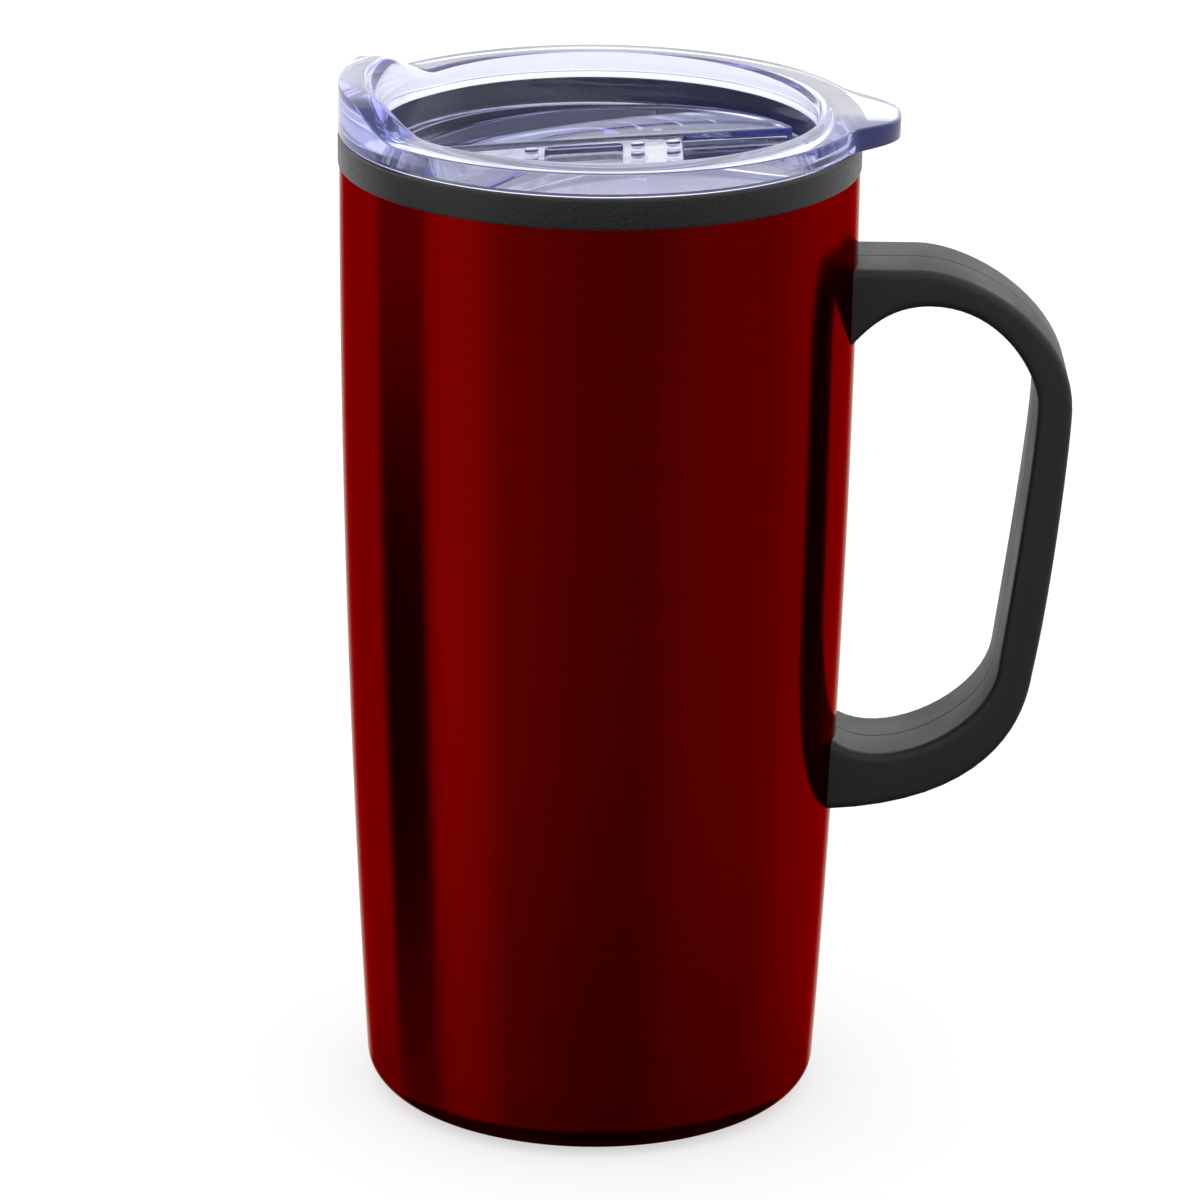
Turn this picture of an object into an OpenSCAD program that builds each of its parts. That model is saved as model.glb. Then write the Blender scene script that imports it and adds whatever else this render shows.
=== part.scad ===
// Insulated travel mug: a lacquered steel shell around a plastic liner, a bolted-on handle,
// and a clear push-in lid with a sliding sip closure.
// Origin: the mug's axis where it meets the table. +Z up, +X towards the handle.

/* [Shell] */
// Outer radius of the shell at its top edge
shell_top_r = 43.8; // [43:0.1:44]
// Height of the shell's top edge, where the collar sits
shell_top_z = 165.5; // [160:0.5:170]
// Radius of the long arc that draws the shell in towards its base
shell_side_arc = 2780; // [2200:10:4000]
// Thickness of the drawn steel
shell_wall = 0.8; // [0.6:0.1:1.0]
// Radius of the rounded bottom edge
shell_foot_round = 5; // [3:0.5:6]

/* [Liner] */
// Radius of the collar, the widest round part
collar_r = 44.05; // [43.5:0.05:45]
// Height of the collar's band
collar_h = 5.2; // [4:0.1:7]
// Radius of the mouth bore that the lid plugs into
mouth_r = 39.8; // [39:0.1:40.2]
// Inside radius of the cup just under its mouth
cup_top_r = 36.5; // [35:0.1:37]
// Inside radius of the cup at its floor
cup_floor_r = 33; // [30:0.5:34]
// Thickness of the liner's wall
liner_wall = 2; // [1.5:0.1:2.2]

/* [Handle] */
// Width of the handle across the grip
handle_w = 20; // [14:0.5:22]
// How far the grip stands out from the mug's axis
handle_reach = 80.3; // [78:0.1:84]
// Height of the upper handle screw
upper_screw_z = 145; // [144.5:0.1:145.5]
// Height of the lower handle screw
lower_screw_z = 59; // [58.5:0.1:59.5]
// Diameter of the handle screws
screw_d = 4; // [3:0.5:4]

/* [Lid] */
// Height of the lid's flange, from the collar to the highest line of its top
flange_h = 4.5; // [4:0.05:6]
// Radius of the recess inside the flange
recess_r = 36.6; // [35:0.1:37]
// How far the thumb tab reaches from the axis
tab_reach = 50.4; // [48:0.1:54]
// How high the drinking spout stands above the flange
spout_rise = 4.4; // [2:0.1:6]
// Half of the angle that the drinking spout spreads over
spout_half_angle = 41; // [30:1:45]
// Slope of the lid's floor down towards the spout
floor_slope = 4; // [2:0.5:5]

/* [Slider] */
// Width of the channel that the slider runs in
channel_w = 24; // [20:0.5:26]
// Depth of that channel
channel_depth = 2.5; // [2:0.1:3]
// How far the slider moves from closed to open
slider_travel = 17; // [12:0.5:17]

/* [Hidden] */
$fn = 128;
eps = 0.01;

// Running clearance between pieces that turn or slide on each other
clearance = 0.1;

// --- shell -------------------------------------------------------------------
shell_foot_z = 0.5;
side_steps = 14;
pad_r = 33;
pad_seat_z = 1.6;
side_start_z = shell_foot_z + shell_foot_round;

// Outer radius of the shell's side at height z
function side_r(z) = shell_top_r - pow(shell_top_z - z, 2) / (2 * shell_side_arc);

// Points along an arc in the plane, from angle a to angle b
function arc(cx, cy, r, a, b, steps) =
    [for (i = [0:steps]) let (t = a + (b - a) * i / steps) [cx + r * cos(t), cy + r * sin(t)]];

// Points along a cubic curve with the end points p, s and the handles q, r
function curve(p, q, r, s, steps) =
    [for (i = [0:steps]) let (t = i / steps, u = 1 - t)
        u*u*u*p + 3*u*u*t*q + 3*u*t*t*r + t*t*t*s];

// The shell's side above its rounded foot, moved inwards by inset
function side_points(inset) =
    [for (i = [1:side_steps])
        let (z = side_start_z + (shell_top_z - side_start_z) * i / side_steps)
        [side_r(z) - inset, z]];

foot_r = side_r(side_start_z) - shell_foot_round;

// --- liner -------------------------------------------------------------------
liner_floor_z = 8;
shoulder_low_z = 151;
shoulder_top_z = 157;
collar_top_z = shell_top_z + collar_h;
collar_edge = 0.5;

// --- handle ------------------------------------------------------------------
saddle_w = 12;
saddle_t = 0.8;
screw_reach = 51.5;
screw_head_r = 3.6;
screw_head_h = 2.2;

// --- lid ---------------------------------------------------------------------
flange_z = collar_top_z + 0.15;
flange_top_z = flange_z + flange_h;
plug_r = 38.6;
plug_bottom_z = 158;
ledge_r = 34.6;
ledge_z = 166.6;
ledge_bottom_z = 159.2;
gasket_z = 161;
gasket_h = 3;
gasket_groove_r = 37.3;
floor_z = 166.4;
floor_t = 1.8;
channel_wall = 2;
flange_fall = 0.35;
flange_round = 2;
tab_t = 3.75;
tab_root_angle = 21.5;
tab_tip_angle = 3;
spout_flat_angle = 19;
spout_inner_r = 39.6;

// --- slider ------------------------------------------------------------------
sip_hole_x = -25.5;
sip_hole_l = 11;
sip_hole_w = 10;
slot_corner = 3;
cut_depth = 8;
slider_end_x = 14.1;
slider_w = channel_w - 0.8;
slider_lift = 0.15;
neck_x = -12;
neck_l = 6;
neck_w = 4;
neck_gap = 0.2;
retainer_l = 14;
retainer_w = 12;
retainer_t = 1.6;
pocket_x = -2.8;
pocket_l = 13.2;
pocket_w = 17;
pocket_depth = 1.4;
pip_r = 1.2;
pip_h = 0.5;

// ---- Mug --------------------------------------------------------------------

// Deep-drawn steel cup, rolled round at its foot and recessed for the pad
module outer_shell() {
    color("#8c0a06")
    difference() {
        rotate_extrude() polygon(concat(
            [[0, pad_seat_z], [pad_r + 0.2, pad_seat_z], [pad_r + 0.6, shell_foot_z]],
            arc(foot_r, side_start_z, shell_foot_round, -90, 0, 8),
            side_points(0),
            [for (i = [side_steps - 1:-1:0]) side_points(shell_wall)[i]],
            arc(foot_r, side_start_z, shell_foot_round - shell_wall, 0, -90, 8),
            [[pad_r + 0.6, pad_seat_z + shell_wall], [0, pad_seat_z + shell_wall]]));
        for (z = [upper_screw_z, lower_screw_z]) screw_hole(z, screw_d + 0.4);
    }
}

// A bore along +X at height z, through the wall on the handle's side
module screw_hole(z, d) {
    translate([30, 0, z]) rotate([0, 90, 0]) cylinder(h = screw_reach - 30, d = d);
}

// Non-slip pad set into the recess under the shell
module base_pad() {
    color("#1c1c1e") cylinder(h = pad_seat_z, r = pad_r);
}

// One moulding: the drinking cup, its stepped mouth and the collar over the shell's edge
module liner() {
    fit_r = shell_top_r - shell_wall - 0.05;
    color("#2c2e30")
    rotate_extrude() polygon([
        [0, liner_floor_z - liner_wall],
        [cup_floor_r, liner_floor_z - liner_wall],
        [cup_floor_r + liner_wall, liner_floor_z],
        [cup_top_r + liner_wall, shoulder_low_z - 1],
        [fit_r, shoulder_top_z - 1],
        [fit_r, shell_top_z],
        [collar_r - collar_edge, shell_top_z],
        [collar_r, shell_top_z + collar_edge],
        [collar_r, collar_top_z - collar_edge],
        [collar_r - collar_edge, collar_top_z],
        [mouth_r + collar_edge, collar_top_z],
        [mouth_r, collar_top_z - collar_edge],
        [mouth_r, shoulder_top_z],
        [cup_top_r, shoulder_low_z],
        [cup_floor_r, liner_floor_z + 2],
        [cup_floor_r - 2, liner_floor_z],
        [0, liner_floor_z]]);
}

// Outline of the handle from the side: outside edge down, inside edge back up
module handle_outline() {
    x = handle_reach;
    polygon(concat(
        [[38, 149.7]],
        curve([x - 26.3, 149.7], [x - 16.6, 149.7], [x, 139.6], [x, 125.3], 12),
        curve([x, 125.3], [x, 120], [x - 2.2, 94], [x - 5.1, 78.5], 6),
        curve([x - 5.1, 78.5], [x - 5.7, 75.3], [x - 6.8, 54.7], [40.4, 53], 14),
        [[36, 52.8], [36, 66.9], [41.2, 65.7]],
        curve([41.2, 65.7], [43, 64.5], [45.1, 63.4], [47.2, 63.4], 5),
        curve([47.2, 63.4], [59.4, 63.4], [x - 12.4, 71.5], [x - 11.2, 78.4], 12),
        curve([x - 11.2, 78.4], [x - 11.1, 79.5], [x - 5.9, 116.6], [x - 5.9, 126.2], 6),
        curve([x - 5.9, 126.2], [x - 5.9, 131.4], [x - 12.4, 143.3], [55.8, 143.3], 12),
        curve([55.8, 143.3], [49.3, 143.3], [45.7, 139.6], [43.1, 136.7], 6),
        [[38, 131.7]]));
}

// Moulded grip whose two feet are cut to the shell's curve, each with a screw boss
module handle() {
    color("#2a2a2c")
    difference() {
        rotate([90, 0, 0]) linear_extrude(handle_w, center = true) handle_outline();
        rotate_extrude() polygon(concat([[0, 20]],
            [for (p = side_points(0)) if (p[1] > 20) p], [[0, shell_top_z]]));
        for (z = [upper_screw_z, lower_screw_z]) screw_hole(z, screw_d);
    }
}

// Outer radius of the saddle washer at height z, just inside the shell's wall
function saddle_r(z) = side_r(z - saddle_w / 2) - shell_wall - 0.05;

// Saddle washer inside the shell, curved to its wall
module saddle_washer(z) {
    r = saddle_r(z);
    color("#9a9c9e")
    difference() {
        intersection() {
            translate([0, 0, z - saddle_w / 2]) cylinder(h = saddle_w, r = r);
            translate([r - 3, -saddle_w / 2, z - saddle_w / 2]) cube([6, saddle_w, saddle_w]);
        }
        translate([0, 0, z - saddle_w]) cylinder(h = 2 * saddle_w, r = r - saddle_t);
        screw_hole(z, screw_d + 0.4);
    }
}
module upper_washer() { saddle_washer(upper_screw_z); }
module lower_washer() { saddle_washer(lower_screw_z); }

// Pan-head screw from inside the shell into the handle's foot, with a cross recess
module handle_screw(z) {
    seat_x = sqrt(pow(saddle_r(z) - saddle_t, 2) - pow(screw_head_r, 2)) - 0.05;
    color("#b4b6b8")
    translate([seat_x, 0, z]) rotate([0, 90, 0]) difference() {
        union() {
            translate([0, 0, -screw_head_h]) cylinder(h = screw_head_h, r = screw_head_r);
            translate([0, 0, -eps]) cylinder(h = screw_reach - seat_x - 0.5, d = screw_d);
        }
        for (a = [0, 90]) rotate(a)
            translate([-2, -0.45, -screw_head_h - eps]) cube([4, 0.9, 1.3]);
    }
}
module upper_handle_screw() { handle_screw(upper_screw_z); }
module lower_handle_screw() { handle_screw(lower_screw_z); }

// ---- Lid --------------------------------------------------------------------

// Places children on the sloping floor: local z = 0 is the floor's upper level
module on_floor() {
    translate([0, 0, floor_z]) rotate([0, -floor_slope, 0]) children();
}

// A block on the sloping floor between two local x, y and z limits
module floor_block(x, y, z) {
    on_floor() translate([x[0], y[0], z[0]])
        cube([x[1] - x[0], y[1] - y[0], z[1] - z[0]]);
}

// A smooth step in the angle a: 1 up to the angle flat, then down to 0 at the angle root
function shoulder(a, flat, root) =
    let (t = min(1, max(0, (abs(a) - flat) / (root - flat)))) pow(cos(90 * t), 2);

// Thumb tab: a round tip that flares back into the flange on both sides
module tab_outline() {
    outer_r = collar_r - 0.1;
    polygon(concat([[38, outer_r * sin(tab_root_angle)]],
        [for (i = [14:-1:-14])
            let (a = tab_root_angle * i / 14,
                 r = outer_r + (tab_reach - outer_r) * shoulder(a, tab_tip_angle, tab_root_angle))
            [r * cos(a), r * sin(a)]],
        [[38, -outer_r * sin(tab_root_angle)]]));
}

// Rise of the drinking spout, seen along X: level in the middle and falling to both sides
module spout_outline() {
    half = collar_r * sin(spout_half_angle);
    polygon(concat([[half, flange_top_z - 2]],
        [for (i = [14:-1:-14])
            let (a = spout_half_angle * i / 14,
                 rise = spout_rise * shoulder(a, spout_flat_angle, spout_half_angle))
            [collar_r * sin(a), flange_top_z - flange_fall + rise]],
        [[-half, flange_top_z - 2]]));
}

// Clear moulding: flange, plug with a gasket groove, and sloping floor with its channel
module lid_body() {
    outer_r = collar_r - 0.05;
    half = channel_w / 2;
    color("#aab0e6")
    difference() {
        union() {
            rotate_extrude() polygon([
                [ledge_r, ledge_bottom_z], [recess_r, ledge_bottom_z],
                [recess_r, plug_bottom_z], [plug_r - 0.6, plug_bottom_z],
                [plug_r, plug_bottom_z + 0.8], [plug_r, flange_z],
                [outer_r - 0.6, flange_z], [outer_r, flange_z + 0.6],
                [outer_r, flange_top_z - flange_fall - 0.3],
                [outer_r - 0.3, flange_top_z - flange_fall],
                [recess_r + flange_round, flange_top_z],
                [recess_r + 0.3 * flange_round, flange_top_z - 0.3 * flange_round],
                [recess_r, flange_top_z - flange_round], [recess_r, ledge_z], [ledge_r, ledge_z]]);
            translate([0, 0, flange_z]) linear_extrude(tab_t) tab_outline();
            intersection() {
                difference() {
                    cylinder(h = 200, r = outer_r);
                    translate([0, 0, -1]) cylinder(h = 202, r = spout_inner_r);
                }
                translate([-30, 0, 0]) rotate([90, 0, -90]) linear_extrude(20) spout_outline();
            }
            intersection() {
                cylinder(h = 200, r = ledge_r + 0.2);
                union() {
                    for (s = [-1, 1]) mirrored(s)
                        floor_block([-40, 40], [half, 40], [-floor_t, 0]);
                    for (s = [-1, 1]) mirrored(s)
                        floor_block([-40, 40], [half, half + channel_wall],
                                    [-channel_depth - floor_t, 0]);
                    floor_block([-40, 40], [-half - 1, half + 1],
                                [-channel_depth - floor_t, -channel_depth]);
                }
            }
        }
        translate([0, 0, gasket_z]) difference() {
            cylinder(h = gasket_h, r = plug_r + 1);
            translate([0, 0, -1]) cylinder(h = gasket_h + 2, r = gasket_groove_r);
        }
        on_floor() {
            translate([sip_hole_x, 0, -cut_depth])
                rounded_slot(sip_hole_l, sip_hole_w, cut_depth - 1);
            translate([neck_x - neck_l / 2 - neck_gap, -neck_w / 2 - neck_gap, -cut_depth])
                cube([neck_l + slider_travel + 2 * neck_gap, neck_w + 2 * neck_gap,
                      cut_depth - 1]);
        }
    }
}

// Mirrors children across the lid's middle plane when s is -1
module mirrored(s) {
    mirror([0, s < 0 ? 1 : 0, 0]) children();
}

// Upright slot of length l and width w with round corners, centred on its origin
module rounded_slot(l, w, h) {
    linear_extrude(h) {
        square([l - 2 * slot_corner, w], center = true);
        square([l, w - 2 * slot_corner], center = true);
        for (x = [-1, 1], y = [-1, 1])
            translate([x * (l / 2 - slot_corner), y * (w / 2 - slot_corner)])
                circle(r = slot_corner);
    }
}

// Silicone seal in the plug's groove, with two lips against the mouth bore
module lid_gasket() {
    inner = gasket_groove_r + clearance / 2;
    lip = mouth_r - clearance;
    low = gasket_z + clearance;
    top = gasket_z + gasket_h - clearance;
    color("#e4e6ea")
    rotate_extrude() polygon([
        [inner, low], [plug_r, low], [lip, low + 0.5], [plug_r + 0.3, low + 1.1],
        [plug_r + 0.3, top - 1.1], [lip, top - 0.6], [plug_r, top], [inner, top]]);
}

// Sliding closure: two raised blocks with a finger pocket between them, and a neck below
module slider() {
    base = slider_lift - channel_depth;
    color("#c4c8ee")
    on_floor() {
        difference() {
            intersection() {
                translate([-40, -slider_w / 2, base])
                    cube([40 + slider_end_x, slider_w, -base - clearance]);
                translate([0, 0, -5]) cylinder(h = 10, r = ledge_r - 0.4);
            }
            translate([pocket_x - pocket_l / 2, -pocket_w / 2, -clearance - pocket_depth])
                cube([pocket_l, pocket_w, pocket_depth + 1]);
        }
        for (x = [6.4, 12.6], y = [-6.5, 0, 6.5])
            translate([x, y, -clearance - eps]) cylinder(h = pip_h, r = pip_r);
        for (y = [-6.5, 0, 6.5])
            translate([-11.6, y, -clearance - eps]) cylinder(h = pip_h, r = pip_r);
        translate([neck_x - neck_l / 2, -neck_w / 2, -channel_depth - floor_t - retainer_t - 0.15])
            cube([neck_l, neck_w, floor_t + retainer_t + 0.5]);
    }
}

// Plate snapped on the neck under the floor, which holds the slider down
module slider_retainer() {
    top = -channel_depth - floor_t - 0.15;
    color("#c4c8ee")
    on_floor() difference() {
        translate([neck_x - retainer_l / 2, -retainer_w / 2, top - retainer_t])
            cube([retainer_l, retainer_w, retainer_t]);
        translate([neck_x - neck_l / 2, -neck_w / 2, top - retainer_t - 1])
            cube([neck_l, neck_w, retainer_t + 2]);
    }
}

outer_shell();
base_pad();
liner();
handle();
upper_washer();
lower_washer();
upper_handle_screw();
lower_handle_screw();
lid_body();
lid_gasket();
slider();
slider_retainer();
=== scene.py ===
import math

import bmesh
import bpy
from mathutils import Matrix, Vector
from mathutils.geometry import interpolate_bezier


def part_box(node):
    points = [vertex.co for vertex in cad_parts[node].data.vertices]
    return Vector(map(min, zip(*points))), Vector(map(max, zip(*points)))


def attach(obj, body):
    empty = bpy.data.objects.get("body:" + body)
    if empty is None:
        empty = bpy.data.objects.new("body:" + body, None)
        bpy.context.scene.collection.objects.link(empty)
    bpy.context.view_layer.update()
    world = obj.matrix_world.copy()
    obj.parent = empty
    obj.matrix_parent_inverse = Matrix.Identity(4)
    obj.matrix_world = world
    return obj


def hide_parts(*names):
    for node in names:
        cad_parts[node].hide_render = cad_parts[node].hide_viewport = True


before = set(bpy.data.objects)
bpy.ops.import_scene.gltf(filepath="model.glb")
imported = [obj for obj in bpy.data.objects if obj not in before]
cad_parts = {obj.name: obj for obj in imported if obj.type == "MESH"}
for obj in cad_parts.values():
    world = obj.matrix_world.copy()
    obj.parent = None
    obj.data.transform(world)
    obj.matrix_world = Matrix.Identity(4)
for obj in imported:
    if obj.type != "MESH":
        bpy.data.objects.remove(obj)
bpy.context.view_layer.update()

mm = 0.001

# ---- Outer shell ----
# A stainless steel cup, deep drawn in one piece. It draws in slightly towards a rolled foot,
# and the foot's recess holds the pad. Its two screw holes are under the handle's feet, where
# nothing shows them, and are left out of this mesh.


def box_mm(node):
    """The low and the high corner of a node of the frame, in millimetres."""
    return [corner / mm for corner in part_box(node)]


def lathe(corners, turns=256):
    """A solid of revolution from corners given as (radius, height, rounding), in millimetres.
    A rounding of 1.5 or more gets finer steps."""
    merge_gap = 1e-7
    bm = bmesh.new()
    outline = [bm.verts.new((r * mm, 0, z * mm)) for r, z, _ in corners]
    bm.faces.new(outline)
    for rounding in sorted({c[2] for c in corners if c[2] > 0}):
        chosen = [v for v, c in zip(outline, corners) if c[2] == rounding]
        bmesh.ops.bevel(bm, geom=chosen, offset=rounding * mm, offset_type="OFFSET",
                        segments=5 if rounding < 1.5 else 12, profile=0.5, affect="VERTICES",
                        clamp_overlap=True, material=-1)
    bmesh.ops.delete(bm, geom=bm.faces[:], context="FACES_ONLY")
    on_axis = [e for e in bm.edges if max(abs(v.co.x) for v in e.verts) < merge_gap]
    bmesh.ops.delete(bm, geom=on_axis, context="EDGES")
    bmesh.ops.spin(bm, geom=bm.verts[:] + bm.edges[:], cent=(0, 0, 0), axis=(0, 0, 1),
                   angle=2 * math.pi, steps=turns, use_merge=True, use_duplicate=False)
    bmesh.ops.remove_doubles(bm, verts=bm.verts[:], dist=merge_gap)
    bmesh.ops.recalc_face_normals(bm, faces=bm.faces[:])
    return bm


def solid(bm, name, material):
    """Turns a bmesh into an object with one material."""
    mesh = bpy.data.meshes.new(name)
    bm.to_mesh(mesh)
    bm.free()
    mesh.materials.append(material)
    made = bpy.data.objects.new(name, mesh)
    bpy.context.scene.collection.objects.link(made)
    return made


def smooth(piece, crease=32):
    """Shades a piece smooth, except where its faces meet at more than crease degrees."""
    bm = bmesh.new()
    bm.from_mesh(piece.data)
    for face in bm.faces:
        face.smooth = True
    for edge in bm.edges:
        edge.smooth = edge.calc_face_angle(math.pi) < math.radians(crease)
    bm.to_mesh(piece.data)
    bm.free()


def combine(first, second, operation):
    """Joins, cuts or overlaps two solids with a boolean, and uses the second one up."""
    change = first.modifiers.new("combine", "BOOLEAN")
    change.operation = operation
    change.object = second
    change.solver = "EXACT"
    graph = bpy.context.evaluated_depsgraph_get()
    made = bpy.data.meshes.new_from_object(first.evaluated_get(graph))
    first.modifiers.clear()
    first.data = made
    bpy.data.objects.remove(second)


def colour(code):
    """A linear colour from an sRGB hex code."""
    channels = [int(code[i:i + 2], 16) / 255 for i in (1, 3, 5)]
    return (*[c / 12.92 if c <= 0.04045 else ((c + 0.055) / 1.055) ** 2.4 for c in channels], 1)


def add(tree, kind, inputs, **settings):
    """Adds a node. inputs gives each socket a value, or another node's output to link to it."""
    made = tree.nodes.new(kind)
    for key, value in settings.items():
        setattr(made, key, value)
    for key, value in inputs.items():
        if isinstance(value, bpy.types.NodeSocket):
            tree.links.new(value, made.inputs[key])
        else:
            made.inputs[key].default_value = value
    return made


def finish(name, inputs):
    """A new material with its shader's constants set. Returns the material, tree and shader."""
    material = bpy.data.materials.new(name)
    material.use_nodes = True
    tree = material.node_tree
    shader = tree.nodes["Principled BSDF"]
    for key, value in inputs.items():
        shader.inputs[key].default_value = value
    return material, tree, shader


def lacquered_steel():
    """Stainless steel brushed on a lathe under clear red lacquer: deep red, mirror-like round
    the mug, with fine level scratches that soften what it reflects up and down."""
    material, tree, shader = finish("lacquered_brushed_steel", {
        "Metallic": 1.0, "Anisotropic": 0.8, "Anisotropic Rotation": 0.25,
        "Specular Tint": colour("#c85c46")})
    place = add(tree, "ShaderNodeTexCoord", {}).outputs["Object"]
    # Real scratches are under 0.1 mm apart, too fine to show, so these are drawn 0.35 mm apart.
    scratch_gap, scratch_length = 0.35 * mm, 30 * mm
    along = (1 / scratch_length, 1 / scratch_length, 1 / scratch_gap)
    streaks = add(tree, "ShaderNodeMapping", {"Vector": place, "Scale": along})
    grain = add(tree, "ShaderNodeTexNoise", {
        "Vector": streaks.outputs["Vector"], "Scale": 1.0, "Detail": 3.0, "Roughness": 0.6})
    bump = add(tree, "ShaderNodeBump", {
        "Height": grain.outputs["Fac"], "Strength": 0.12, "Distance": 0.02 * mm})
    tone = add(tree, "ShaderNodeMapRange", {
        "Value": grain.outputs["Fac"], "From Min": 0.3, "From Max": 0.7,
        "To Min": 0.12, "To Max": 0.18})
    lacquer = add(tree, "ShaderNodeMix", {
        0: grain.outputs["Fac"], 6: colour("#720301"), 7: colour("#860502")}, data_type="RGBA")
    turned = add(tree, "ShaderNodeTangent", {}, direction_type="RADIAL", axis="Z")
    tree.links.new(bump.outputs["Normal"], shader.inputs["Normal"])
    tree.links.new(tone.outputs["Result"], shader.inputs["Roughness"])
    tree.links.new(lacquer.outputs[2], shader.inputs["Base Color"])
    tree.links.new(turned.outputs["Tangent"], shader.inputs["Tangent"])
    return material


shell_low, shell_high = box_mm("outer_shell")
shell_top_z, shell_foot_z, shell_top_r = shell_high.z, shell_low.z, shell_high.x
# The side is a shallow arc of this radius, drawn in steps down to the foot's rounding.
shell_side_arc, side_low_z, side_steps = 2780, 14, 24
shell_wall, shell_foot_round = 0.8, 5
pad_high = box_mm("base_pad")[1]
pad_r, pad_top_z, pad_gap, foot_ring_w = pad_high.x, pad_high.z, 0.2, 0.5


def shell_r(z):
    """Outer radius of the shell at height z, in millimetres."""
    return shell_top_r - (shell_top_z - z) ** 2 / (2 * shell_side_arc)


side_heights = [shell_top_z - (shell_top_z - side_low_z) * i / side_steps
                for i in range(side_steps + 1)]
foot_r = shell_r(shell_foot_z)
shell = solid(lathe(
    [(0, pad_top_z, 0), (pad_r + pad_gap, pad_top_z, 0.3),
     (pad_r + pad_gap + foot_ring_w, shell_foot_z, 0.4), (foot_r, shell_foot_z, shell_foot_round)]
    + [(shell_r(z), z, 0) for z in reversed(side_heights)]
    + [(shell_r(z) - shell_wall, z, 0) for z in side_heights]
    + [(foot_r - shell_wall, shell_foot_z + shell_wall, shell_foot_round - shell_wall),
       (pad_r + 0.8, pad_top_z + shell_wall, 0.3), (0, pad_top_z + shell_wall, 0)]),
    "steel_shell", lacquered_steel())
smooth(shell)
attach(shell, "mug")
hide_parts("outer_shell")

# ---- Base pad ----
# A disc of black rubber, cast with shallow rings and stuck into the recess under the foot.
# It keeps the mug from sliding and is the only part that touches the table.


def cast_rubber():
    """Cast rubber: near black and dull, with a soft grain that only shows up close."""
    material, tree, shader = finish("cast_rubber", {
        "Base Color": colour("#1b1b1c"), "Roughness": 0.75, "Specular IOR Level": 0.35})
    place = add(tree, "ShaderNodeTexCoord", {}).outputs["Object"]
    # The cast skin's grain is about 0.2 mm across, drawn 0.5 mm so that it shows.
    grain = add(tree, "ShaderNodeTexNoise", {"Vector": place, "Scale": 1 / (0.5 * mm)})
    bump = add(tree, "ShaderNodeBump", {
        "Height": grain.outputs["Fac"], "Strength": 0.3, "Distance": 0.05 * mm})
    tree.links.new(bump.outputs["Normal"], shader.inputs["Normal"])
    return material


groove_pitch, groove_depth, groove_mouth, groove_floor = 6, 0.4, 0.8, 0.5
grooves = []
for groove in range(1, 6):
    r = groove * groove_pitch
    grooves += [(r - groove_mouth, 0, 0), (r - groove_floor, groove_depth, 0),
                (r + groove_floor, groove_depth, 0), (r + groove_mouth, 0, 0)]
pad = solid(lathe([(0, 0, 0)] + grooves + [(pad_r, 0, 0.4), (pad_r, pad_top_z, 0),
                                           (0, pad_top_z, 0)], 128),
            "rubber_pad", cast_rubber())
smooth(pad)
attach(pad, "mug")
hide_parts("base_pad")

# ---- Liner and collar ----
# One polypropylene moulding: the cup that holds the drink, stepped out at its mouth for the
# lid, and the charcoal collar that caps the shell's edge. It is pressed into the shell.


def charcoal_polypropylene():
    """Polypropylene moulded against a spark-finished tool: charcoal, satin, with a fine even
    grain that breaks up its highlights."""
    material, tree, shader = finish("moulded_charcoal_polypropylene", {
        "IOR": 1.49, "Specular IOR Level": 0.5, "Sheen Weight": 0.24, "Sheen Roughness": 0.3})
    place = add(tree, "ShaderNodeTexCoord", {}).outputs["Object"]
    # Spark grain is about 0.1 mm across, drawn 0.4 mm so that it shows.
    grain = add(tree, "ShaderNodeTexNoise", {
        "Vector": place, "Scale": 1 / (0.4 * mm), "Detail": 2.0})
    contrast = add(tree, "ShaderNodeMapRange", {
        "Value": grain.outputs["Fac"], "From Min": 0.35, "From Max": 0.65})
    mottle = add(tree, "ShaderNodeMix", {
        0: contrast.outputs["Result"], 6: colour("#040405"), 7: colour("#171719")},
        data_type="RGBA")
    bump = add(tree, "ShaderNodeBump", {
        "Height": grain.outputs["Fac"], "Strength": 0.7, "Distance": 0.08 * mm})
    tone = add(tree, "ShaderNodeMapRange", {
        "Value": grain.outputs["Fac"], "From Min": 0.3, "From Max": 0.7,
        "To Min": 0.36, "To Max": 0.56})
    tree.links.new(mottle.outputs[2], shader.inputs["Base Color"])
    tree.links.new(bump.outputs["Normal"], shader.inputs["Normal"])
    tree.links.new(tone.outputs["Result"], shader.inputs["Roughness"])
    return material


liner_low, liner_high = box_mm("liner")
collar_r, collar_top_z, floor_low_z = liner_high.x, liner_high.z, liner_low.z
mouth_r = box_mm("lid_gasket")[1].x + 0.1
cup_top_r, cup_floor_r, liner_wall = 36.5, 33, 2
shoulder_low_z, shoulder_top_z = 151, 157
liner_fit_r = shell_top_r - shell_wall - 0.05
liner = solid(lathe([
    (0, floor_low_z, 0), (cup_floor_r + liner_wall, floor_low_z, 3),
    (cup_top_r + liner_wall, shoulder_low_z - 1, 1.5), (liner_fit_r, shoulder_top_z - 1, 1),
    (liner_fit_r, shell_top_z, 0), (collar_r, shell_top_z, 0.35), (collar_r, collar_top_z, 0.55),
    (mouth_r, collar_top_z, 0.5), (mouth_r, shoulder_top_z, 1),
    (cup_top_r, shoulder_low_z, 1.5), (cup_floor_r, floor_low_z + liner_wall, 3.5),
    (0, floor_low_z + liner_wall, 0)]),
    "cup_liner", charcoal_polypropylene())
smooth(liner)
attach(liner, "mug")
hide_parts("liner")

# ---- Handle ----
# A solid polypropylene moulding, cut to the shell's curve at both feet. The two halves of
# its tool meet along the middle, which leaves a fine line round the grip. The bores for the
# screws open only against the shell, and are left out of this mesh.


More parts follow.
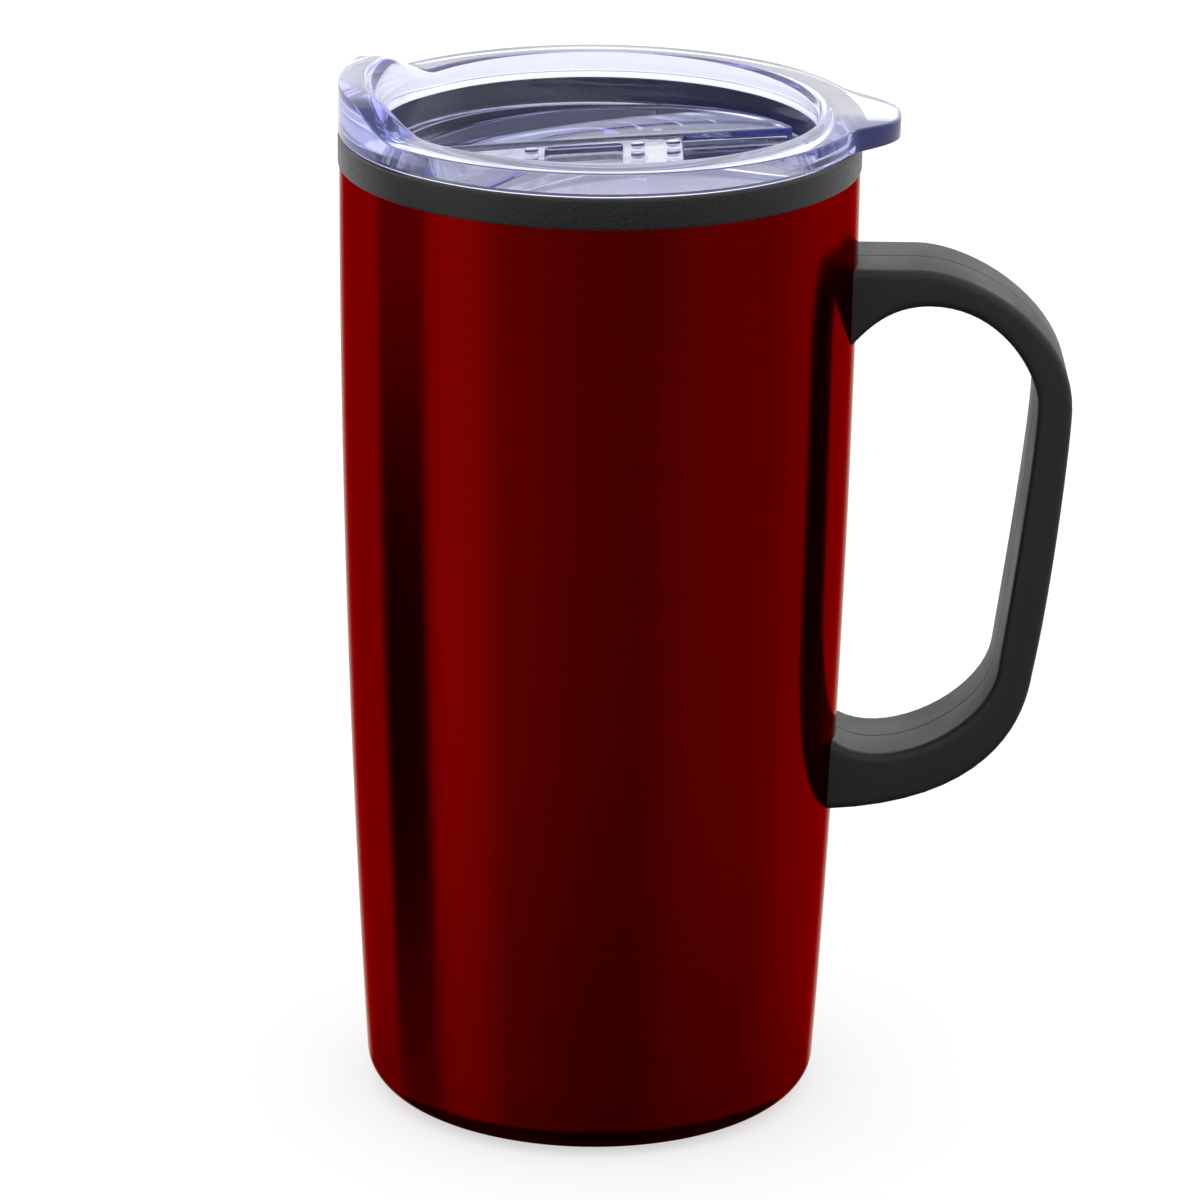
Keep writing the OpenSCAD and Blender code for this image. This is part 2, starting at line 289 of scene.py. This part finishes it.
def black_polypropylene():
    """Polypropylene with black pigment, moulded with a light grain: near black on its sides,
    with soft grey highlights on top and along its edges."""
    material, tree, shader = finish("moulded_black_polypropylene", {
        "Base Color": colour("#18181a"), "IOR": 1.49, "Specular IOR Level": 0.45})
    place = add(tree, "ShaderNodeTexCoord", {}).outputs["Object"]
    # Tool grain is about 0.15 mm across, drawn 0.5 mm so that it shows.
    grain = add(tree, "ShaderNodeTexNoise", {
        "Vector": place, "Scale": 1 / (0.5 * mm), "Detail": 2.0})
    bump = add(tree, "ShaderNodeBump", {
        "Height": grain.outputs["Fac"], "Strength": 0.35, "Distance": 0.04 * mm})
    rubbed = add(tree, "ShaderNodeTexNoise", {"Vector": place, "Scale": 1 / (14 * mm)})
    tone = add(tree, "ShaderNodeMapRange", {
        "Value": rubbed.outputs["Fac"], "From Min": 0.3, "From Max": 0.7,
        "To Min": 0.46, "To Max": 0.58})
    tree.links.new(bump.outputs["Normal"], shader.inputs["Normal"])
    tree.links.new(tone.outputs["Result"], shader.inputs["Roughness"])
    return material


reach, half_w, top_z = box_mm("handle")[1]
# Each span is a curve from one point to the next, with two points that pull it between them.
outside = [
    [(36, top_z), (40, top_z), (50, top_z), (reach - 26.3, top_z)],
    [(reach - 26.3, top_z), (reach - 16.6, top_z), (reach, 139.6), (reach, 125.3)],
    [(reach, 125.3), (reach, 120), (reach - 2.2, 94), (reach - 5.1, 78.5)],
    [(reach - 5.1, 78.5), (reach - 5.7, 75.3), (reach - 6.8, 54.7), (40.4, 53)]]
inside = [
    [(41.2, 65.7), (49.4, 58.9), (reach - 12.8, 67.8), (reach - 11.2, 78.4)],
    [(reach - 11.2, 78.4), (reach - 11.1, 79.5), (reach - 5.9, 116.6), (reach - 5.9, 126.2)],
    [(reach - 5.9, 126.2), (reach - 5.9, 131.4), (reach - 12.4, 143.3), (55.8, 143.3)],
    [(55.8, 143.3), (49.3, 143.3), (45.7, 139.6), (43.1, 136.7)]]


def side_points(points):
    """Points in the handle's plane, from millimetres to metres."""
    return [Vector((x * mm, z * mm)) for x, z in points]


def side_view(spans, steps=20):
    """Points along joined curves in the handle's plane, each given once."""
    points = []
    for span in spans:
        points += interpolate_bezier(*side_points(span), steps)[:-1]
    return points + side_points(spans[-1][-1:])


def made_vertices(grown):
    """The vertices among what an extrusion made."""
    return [part for part in grown if isinstance(part, bmesh.types.BMVert)]


def round_edges(bm, edges, rounding, segments, clamp_overlap=True):
    """Rounds edges of a bmesh, by a width in millimetres."""
    bmesh.ops.bevel(bm, geom=edges, offset=rounding * mm, offset_type="OFFSET",
                    segments=segments, profile=0.5, affect="EDGES",
                    clamp_overlap=clamp_overlap, material=-1)


# The points between the curves lie inside the shell and are cut away with its room.
loop = (side_view(outside) + side_points([(34, 52.7), (34, 70.9)])
        + side_view(inside) + side_points([(36, 130)]))
rim_rounding, seam_w, seam_depth, same_plane = 1.5, 0.22, 0.1, 1e-6
bm = bmesh.new()
side = bm.faces.new([bm.verts.new((p.x, -half_w * mm, p.y)) for p in loop])
for step in (half_w - seam_w, seam_w, seam_w, half_w - seam_w):
    grown = bmesh.ops.extrude_face_region(bm, geom=[side])["geom"]
    bmesh.ops.translate(bm, vec=(0, step * mm, 0), verts=made_vertices(grown))
    side = next(part for part in grown if isinstance(part, bmesh.types.BMFace))
bmesh.ops.recalc_face_normals(bm, faces=bm.faces[:])
bm.normal_update()
for vert in bm.verts:
    if abs(vert.co.y) < same_plane:
        vert.co -= vert.normal * seam_depth * mm
rims = [e for e in bm.edges
        if all(abs(abs(v.co.y) - half_w * mm) < same_plane for v in e.verts)]
round_edges(bm, rims, rim_rounding, 5, clamp_overlap=False)
grip_plastic = black_polypropylene()
handle = solid(bm, "grip_handle", grip_plastic)
saddle_gap, room_low_z, room_top_z, room_step = 0.04, 30, 165, 5
shell_room = solid(lathe([(0, room_low_z, 0)] + [
    (shell_r(z) + saddle_gap, z, 0) for z in range(room_low_z, room_top_z + 1, room_step)]
    + [(0, room_top_z, 0)]), "shell_room", grip_plastic)
combine(handle, shell_room, "DIFFERENCE")
smooth(handle, 28)
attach(handle, "mug")
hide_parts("handle")

# ---- Handle screws and washers ----
# Two pan-head screws from inside the shell, each over a saddle washer that follows the
# shell's wall. They are zinc plated and hidden once the liner is in.


def zinc_plate():
    """Zinc-plated steel: pale, slightly blue, satin from the plating bath."""
    material, tree, shader = finish("zinc_plated_steel", {
        "Base Color": colour("#b9bcc0"), "Metallic": 1.0})
    place = add(tree, "ShaderNodeTexCoord", {}).outputs["Object"]
    clouds = add(tree, "ShaderNodeTexNoise", {"Vector": place, "Scale": 1 / (1.5 * mm)})
    tone = add(tree, "ShaderNodeMapRange", {
        "Value": clouds.outputs["Fac"], "To Min": 0.25, "To Max": 0.5})
    tree.links.new(tone.outputs["Result"], shader.inputs["Roughness"])
    return material


plated = zinc_plate()
for part in ("upper_washer", "lower_washer", "upper_handle_screw", "lower_handle_screw"):
    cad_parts[part].data.materials.clear()
    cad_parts[part].data.materials.append(plated)

# ---- Lid gasket ----
# A ring of translucent silicone in the lid plug's groove. Its two lips press on the mouth's
# wall and seal the lid.


def silicone():
    """Moulded silicone: milky, lets light in a little way, with a soft dull shine."""
    material, tree, shader = finish("moulded_silicone", {
        "Base Color": colour("#d9dce2"), "IOR": 1.41,
        "Subsurface Weight": 0.4, "Subsurface Scale": 1.5 * mm})
    place = add(tree, "ShaderNodeTexCoord", {}).outputs["Object"]
    bloom = add(tree, "ShaderNodeTexNoise", {"Vector": place, "Scale": 1 / (3 * mm)})
    tone = add(tree, "ShaderNodeMapRange", {
        "Value": bloom.outputs["Fac"], "To Min": 0.32, "To Max": 0.5})
    tree.links.new(tone.outputs["Result"], shader.inputs["Roughness"])
    return material


seal_low, seal_high = box_mm("lid_gasket")
plug_r, groove_r, lip_h, web_step = 38.6, 37.3, 0.9, 0.2
seal_r, seal_in_r, web_r = seal_high.x, groove_r + 0.05, plug_r + web_step
seal = solid(lathe([
    (seal_in_r, seal_low.z, 0), (plug_r, seal_low.z, 0.2), (seal_r, seal_low.z + 0.3, 0.2),
    (seal_r - 0.1, seal_low.z + lip_h, 0.15), (web_r, seal_low.z + lip_h + web_step, 0.15),
    (web_r, seal_high.z - lip_h - web_step, 0.15), (seal_r - 0.1, seal_high.z - lip_h, 0.15),
    (seal_r, seal_high.z - 0.3, 0.2), (plug_r, seal_high.z, 0.2),
    (seal_in_r, seal_high.z, 0)]), "silicone_seal", silicone())
smooth(seal)
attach(seal, "lid_seal")
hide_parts("lid_gasket")

# ---- Lid ----
# One clear moulding: a flange that sits on the collar, with a drinking lobe at -X and a
# thumb tab at +X; a plug with the seal's groove; and a sloping floor with the slider's channel.


def clear_copolyester():
    """Moulded clear copolyester: polished like glass, with a violet toner that deepens where
    the plastic is thick. Its surface has a faint violet painted glow, painted light that lifts
    the dark where light is trapped inside."""
    # The faint violet emission is a painted glow on the clear plastic, painted light and not a
    # lamp.
    material, tree, shader = finish("clear_copolyester", {
        "Base Color": colour("#ffffff"), "Roughness": 0.015, "IOR": 1.54,
        "Transmission Weight": 1.0, "Emission Color": colour("#a4aeff"),
        "Emission Strength": 0.015})
    toner = add(tree, "ShaderNodeVolumeAbsorption", {
        "Color": colour("#9ca5e4"), "Density": 45.0})
    out = tree.nodes["Material Output"]
    tree.links.new(toner.outputs["Volume"], out.inputs["Volume"])
    return material


clear = clear_copolyester()
lid_low, lid_high = box_mm("lid_body")
flange_r, flange_z = collar_r - 0.05, collar_top_z + 0.15
flange_top_z, flange_edge_z = flange_z + 4.5, flange_z + 4.15
recess_r, ledge_r, ledge_z, ledge_low_z, flange_round = 36.6, 34.6, 166.6, 159.2, 2
groove_low_z, groove_top_z = seal_low.z - 0.1, seal_high.z + 0.1
bm = lathe([
    (ledge_r, ledge_low_z, 0.3), (recess_r, ledge_low_z, 0), (recess_r, lid_low.z, 0.3),
    (plug_r, lid_low.z, 0.7), (plug_r, groove_low_z, 0), (groove_r, groove_low_z, 0),
    (groove_r, groove_top_z, 0), (plug_r, groove_top_z, 0),
    (plug_r, flange_z, 0.4), (flange_r, flange_z, 0.5), (flange_r, flange_z + 2.2, 0),
    (flange_r, flange_edge_z, 0.3), (recess_r, flange_top_z, flange_round),
    (recess_r, ledge_z, 0.4), (ledge_r, ledge_z, 0.25)], 512)


def shoulder(turn, flat, root):
    """A smooth step in an angle in degrees: 1 up to flat, then down to 0 at root."""
    along = min(1, max(0, (turn - flat) / (root - flat)))
    return 0.5 + 0.5 * math.cos(math.pi * along)


# The lobe lifts the flange's top and draws its inner edge back; the tab draws its outer wall
# out along X and falls slightly towards its tip.
lobe_rise, lobe_ridge_back, lift_z = lid_high.z - flange_edge_z, 1.7, flange_z + 0.6
tab_reach, tab_root_r, tab_fall = lid_high.x, 39.5, 0.4
lobe_flat_angle, lobe_root_angle, tab_flat_angle, tab_root_angle = 19, 41, 3, 21.5
ridge_r = recess_r + flange_round
for vert in bm.verts:
    x, y, z = vert.co / mm
    r, turn = math.hypot(x, y), abs(math.degrees(math.atan2(y, x)))
    lobe = shoulder(180 - turn, lobe_flat_angle, lobe_root_angle)
    tab = shoulder(turn, tab_flat_angle, tab_root_angle)
    if z > lift_z and r > recess_r - 0.1:
        lift = lobe * min(1, (z - lift_z) / (flange_edge_z - lift_z))
        z += lobe_rise * lift
        r += lobe_ridge_back * lift * min(1, (flange_r - r) / (flange_r - ridge_r))
    if r > tab_root_r:
        out = tab * (r - tab_root_r) / (flange_r - tab_root_r)
        r += (tab_reach - flange_r) * out
        z -= tab_fall * out * max(0, (z - flange_z) / (flange_edge_z - flange_z))
    vert.co = (r * x / math.hypot(x, y) * mm, r * y / math.hypot(x, y) * mm, z * mm)
lid = solid(bm, "clear_lid", clear)

# The floor: two flat blocks with the channel between them, on a slope down to the lobe.
channel_half_w, channel_depth, floor_t, floor_z, floor_slope = 12, 2.5, 1.8, 166.4, 4
floor_tilt = (Matrix.Translation((0, 0, floor_z * mm))
              @ Matrix.Rotation(math.radians(-floor_slope), 4, "Y"))
under_w = channel_half_w + 2
# The blocks reach past the recess, and are then cut to its round.
past = 40
section = [(-past, 0), (-channel_half_w, 0), (-channel_half_w, -channel_depth),
           (channel_half_w, -channel_depth), (channel_half_w, 0), (past, 0), (past, -floor_t),
           (under_w, -floor_t), (under_w, -channel_depth - floor_t),
           (-under_w, -channel_depth - floor_t), (-under_w, -floor_t), (-past, -floor_t)]
bm = bmesh.new()
end = bm.faces.new([bm.verts.new((-past * mm, y * mm, z * mm)) for y, z in section])
grown = bmesh.ops.extrude_face_region(bm, geom=[end])["geom"]
bmesh.ops.translate(bm, vec=(2 * past * mm, 0, 0), verts=made_vertices(grown))
channel_edges = [e for e in bm.edges if abs(e.verts[0].co.x - e.verts[1].co.x) > past * mm
                 and abs(e.verts[0].co.y) < past / 2 * mm]
round_edges(bm, channel_edges, 0.25, 3)
bmesh.ops.recalc_face_normals(bm, faces=bm.faces[:])
bmesh.ops.transform(bm, matrix=floor_tilt, verts=bm.verts[:])
floor_plate = solid(bm, "floor_plate", clear)
floor_r, cut_low_z, cut_top_z = ledge_r + 0.15, 150, 180
round_cut = solid(lathe([(0, cut_low_z, 0), (floor_r, cut_low_z, 0), (floor_r, cut_top_z, 0),
                         (0, cut_top_z, 0)]), "round_cut", clear)
combine(floor_plate, round_cut, "INTERSECT")
combine(lid, floor_plate, "UNION")


def upright_block(x, y, z, rounding):
    """A block on the lid's floor between two x, y and z limits, its upright edges rounded."""
    bm = bmesh.new()
    bmesh.ops.create_cube(bm, size=1)
    bmesh.ops.scale(bm, vec=[(b - a) * mm for a, b in (x, y, z)], verts=bm.verts[:])
    bmesh.ops.translate(bm, vec=[(a + b) / 2 * mm for a, b in (x, y, z)], verts=bm.verts[:])
    upright = [e for e in bm.edges if abs(e.verts[0].co.z - e.verts[1].co.z) > same_plane]
    if rounding:
        round_edges(bm, upright, rounding, 6)
    return bm


def on_floor(bm, name):
    """Sets a bmesh made on the level on the lid's sloping floor, as a clear solid."""
    bmesh.ops.transform(bm, matrix=floor_tilt, verts=bm.verts[:])
    return solid(bm, name, clear)


slider_travel, slot_gap = 17, 0.2
neck_x, neck_half_w, through_z = (-15, -9), 2, (-8, -1)
sip_hole = upright_block((-31, -20), (-5, 5), through_z, 3)
combine(lid, on_floor(sip_hole, "sip_hole"), "DIFFERENCE")
slot_half_w = neck_half_w + slot_gap
neck_slot = upright_block((neck_x[0] - slot_gap, neck_x[1] + slider_travel + slot_gap),
                          (-slot_half_w, slot_half_w), through_z, 1)
combine(lid, on_floor(neck_slot, "neck_slot"), "DIFFERENCE")
smooth(lid)
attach(lid, "lid")
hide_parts("lid_body")

# ---- Slider ----
# A clear moulding that slides in the channel and closes the sip hole. A finger pocket lies
# between its two blocks, and a neck goes down through the floor's slot.

slider_half_w, slider_top, slider_low = 11.6, -0.1, 0.15 - channel_depth
slider_end_x, slider_nose_r = 14.1, ledge_r - 0.4
block = upright_block((-past, slider_end_x), (-slider_half_w, slider_half_w),
                      (slider_low, slider_top), 0)
top_edges = [e for e in block.edges if all(v.co.z > (slider_low + slider_top) / 2 * mm
                                           for v in e.verts)]
round_edges(block, top_edges, 0.3, 3)
slider = on_floor(block, "sip_slider")
# The nose is cut round, to follow the recess, by a disc much thicker than the block.
nose = lathe([(0, -5, 0), (slider_nose_r, -5, 0), (slider_nose_r, 5, 0.4), (0, 5, 0)])
combine(slider, on_floor(nose, "nose"), "INTERSECT")
pocket_depth = 1.4
pocket = upright_block((-9.4, 3.9), (-8.5, 8.5), (slider_top - pocket_depth, slider_top + 1), 1.5)
combine(slider, on_floor(pocket, "pocket"), "DIFFERENCE")
neck = upright_block(neck_x, (-neck_half_w, neck_half_w), (-6, slider_low + 0.3), 0.8)
combine(slider, on_floor(neck, "neck"), "UNION")
pip_r, pip_h, pip_root = 1.2, 0.5, 0.3
for x in (-11.6, 6.4, 12.4):
    for y in (-6.5, 0, 6.5):
        pip = lathe([(0, -pip_root, 0), (pip_r, -pip_root, 0), (pip_r, pip_h, 0.35),
                     (0, pip_h, 0)], 24)
        bmesh.ops.translate(pip, vec=(x * mm, y * mm, slider_top * mm), verts=pip.verts[:])
        combine(slider, on_floor(pip, "pip"), "UNION")
smooth(slider)
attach(slider, "slider")
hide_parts("slider")

# ---- Slider retainer ----
# A small clear plate snapped on the slider's neck under the floor. It keeps the slider down
# in its channel.

plate = upright_block((-19, -5), (-6, 6), (-6.05, -4.45), 1)
retainer = on_floor(plate, "retainer_plate")
snap_gap = 0.02
neck_hole = upright_block((neck_x[0] - snap_gap, neck_x[1] + snap_gap),
                          (-neck_half_w - snap_gap, neck_half_w + snap_gap), (-9, -2), 0.8)
combine(retainer, on_floor(neck_hole, "neck_hole"), "DIFFERENCE")
smooth(retainer)
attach(retainer, "slider")
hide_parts("slider_retainer")

# ---- Table, studio and camera ----
# A table of opal acrylic, lit from below, under a white sky. Only shiny and clear surfaces see
# the studio's wall, rings of soft boxes and a dark flag that give the shell its bands.


def opal_acrylic():
    """Opal acrylic lit evenly from below: white, with only a faint shadow where things stand.
    Its underside is left clear, so that the table doesn't hide the mug's base."""
    material, tree, shader = finish("opal_acrylic", {
        "Base Color": colour("#bcbcbc"), "Roughness": 0.9, "Specular IOR Level": 0.1,
        "Emission Color": colour("#ffffff"), "Emission Strength": 0.6})
    side = add(tree, "ShaderNodeNewGeometry", {}).outputs["Backfacing"]
    underside = add(tree, "ShaderNodeBsdfTransparent", {}).outputs["BSDF"]
    both = add(tree, "ShaderNodeMixShader", {0: side, 1: shader.outputs["BSDF"], 2: underside})
    tree.links.new(both.outputs["Shader"], tree.nodes["Material Output"].inputs["Surface"])
    return material


def studio_light(bearings):
    """Soft boxes and flags as one band of light. bearings gives pairs: degrees from the front
    towards +X, and brightness."""
    material = bpy.data.materials.new("studio_light")
    material.use_nodes = True
    tree = material.node_tree
    tree.nodes.clear()
    place = add(tree, "ShaderNodeTexCoord", {}).outputs["Object"]
    x, y, _ = add(tree, "ShaderNodeSeparateXYZ", {"Vector": place}).outputs
    back = add(tree, "ShaderNodeMath", {0: y, 1: -1.0}, operation="MULTIPLY").outputs[0]
    turn = add(tree, "ShaderNodeMath", {0: x, 1: back}, operation="ARCTAN2").outputs[0]
    along = add(tree, "ShaderNodeMapRange", {
        "Value": turn, "From Min": -math.pi, "From Max": math.pi}).outputs["Result"]
    ramp = add(tree, "ShaderNodeValToRGB", {"Fac": along})
    stops = ramp.color_ramp.elements
    while len(stops) < len(bearings):
        stops.new(0.5)
    for stop, (bearing, brightness) in zip(stops, bearings):
        stop.position = (bearing + 180) / 360
        stop.color = (brightness, brightness, brightness, 1)
    glow = add(tree, "ShaderNodeEmission", {"Color": ramp.outputs["Color"]})
    add(tree, "ShaderNodeOutputMaterial", {"Surface": glow.outputs["Emission"]})
    return material


# The table lies a hair under the pad, so that the two don't share a plane.
table_r, table_gap = 3, 0.05
bm = bmesh.new()
bmesh.ops.create_circle(bm, cap_ends=True, segments=64, radius=table_r,
                        matrix=Matrix.Translation((0, 0, -table_gap * mm)))
table = solid(bm, "table_top", opal_acrylic())
table.visible_glossy = False

# The lights round the mug, as bearing and brightness. A dark flag stands at the left.
wall_r = 1.5
lights = ((-180, 1.0), (-117, 1.0), (-111, 0), (-85, 0), (-79, 0.85), (-70, 1.0), (-56, 0.85),
          (-41, 0.48), (-5, 0.31), (20, 0.27), (44, 0.44), (84, 0.5), (108, 0.78), (130, 1.0),
          (180, 1.0))
overhead = ((-180, 1.6), (-110, 1.6), (-70, 0.9), (70, 0.9), (110, 1.6), (180, 1.6))
# Each ring of the wall: its limits in height, its lights, their level and the flag's brightness.
# The lowest ring is closed underneath, so that the foot has dark below it.
for low, high, bearings, level, flag in (
        (-4, -1.15, lights, 0.05, 1), (-1.15, -0.68, lights, 0.55, 0.5),
        (-0.68, -0.33, lights, 1, 0), (-0.33, 0.3, lights, 1, 0.45), (0.3, 2.2, overhead, 1, 1)):
    bm = bmesh.new()
    bmesh.ops.create_circle(bm, cap_ends=low < -2, segments=96, radius=wall_r)
    bmesh.ops.translate(bm, vec=(0, 0, low), verts=bm.verts[:])
    grown = bmesh.ops.extrude_edge_only(bm, edges=bm.edges[:])["geom"]
    bmesh.ops.translate(bm, vec=(0, 0, high - low), verts=made_vertices(grown))
    ring = solid(bm, "studio_wall",
                 studio_light([(turn, level * (light or flag)) for turn, light in bearings]))
    for rays in ("camera", "diffuse", "shadow"):
        setattr(ring, "visible_" + rays, False)
    ring.visible_transmission = low > 0

world = bpy.data.worlds.new("studio")
bpy.context.scene.world = world
world.use_nodes = True
sky = world.node_tree.nodes["Background"]
sky.inputs["Color"].default_value = (1, 1, 1, 1)
sky.inputs["Strength"].default_value = 1.0

scene = bpy.context.scene
scene.view_settings.view_transform = "Standard"
# Light bounces many times inside the clear lid before it finds its way out.
scene.cycles.max_bounces = 24
scene.cycles.glossy_bounces = 16
scene.cycles.transmission_bounces = 20
lens = bpy.data.cameras.new("camera")
lens.sensor_width, lens.lens = 36, 181.5
lens.clip_start, lens.clip_end = 0.1, 20
camera = bpy.data.objects.new("camera", lens)
scene.collection.objects.link(camera)
camera_place = (0, -0.9861, 0.4247)
camera_yaw, camera_pitch, camera_roll = -0.0009, 0.3294, 0.0118
camera.matrix_world = (Matrix.Translation(camera_place)
                       @ Matrix.Rotation(camera_yaw, 4, "Z")
                       @ Matrix.Rotation(math.pi / 2 - camera_pitch, 4, "X")
                       @ Matrix.Rotation(camera_roll, 4, "Z"))
scene.camera = camera
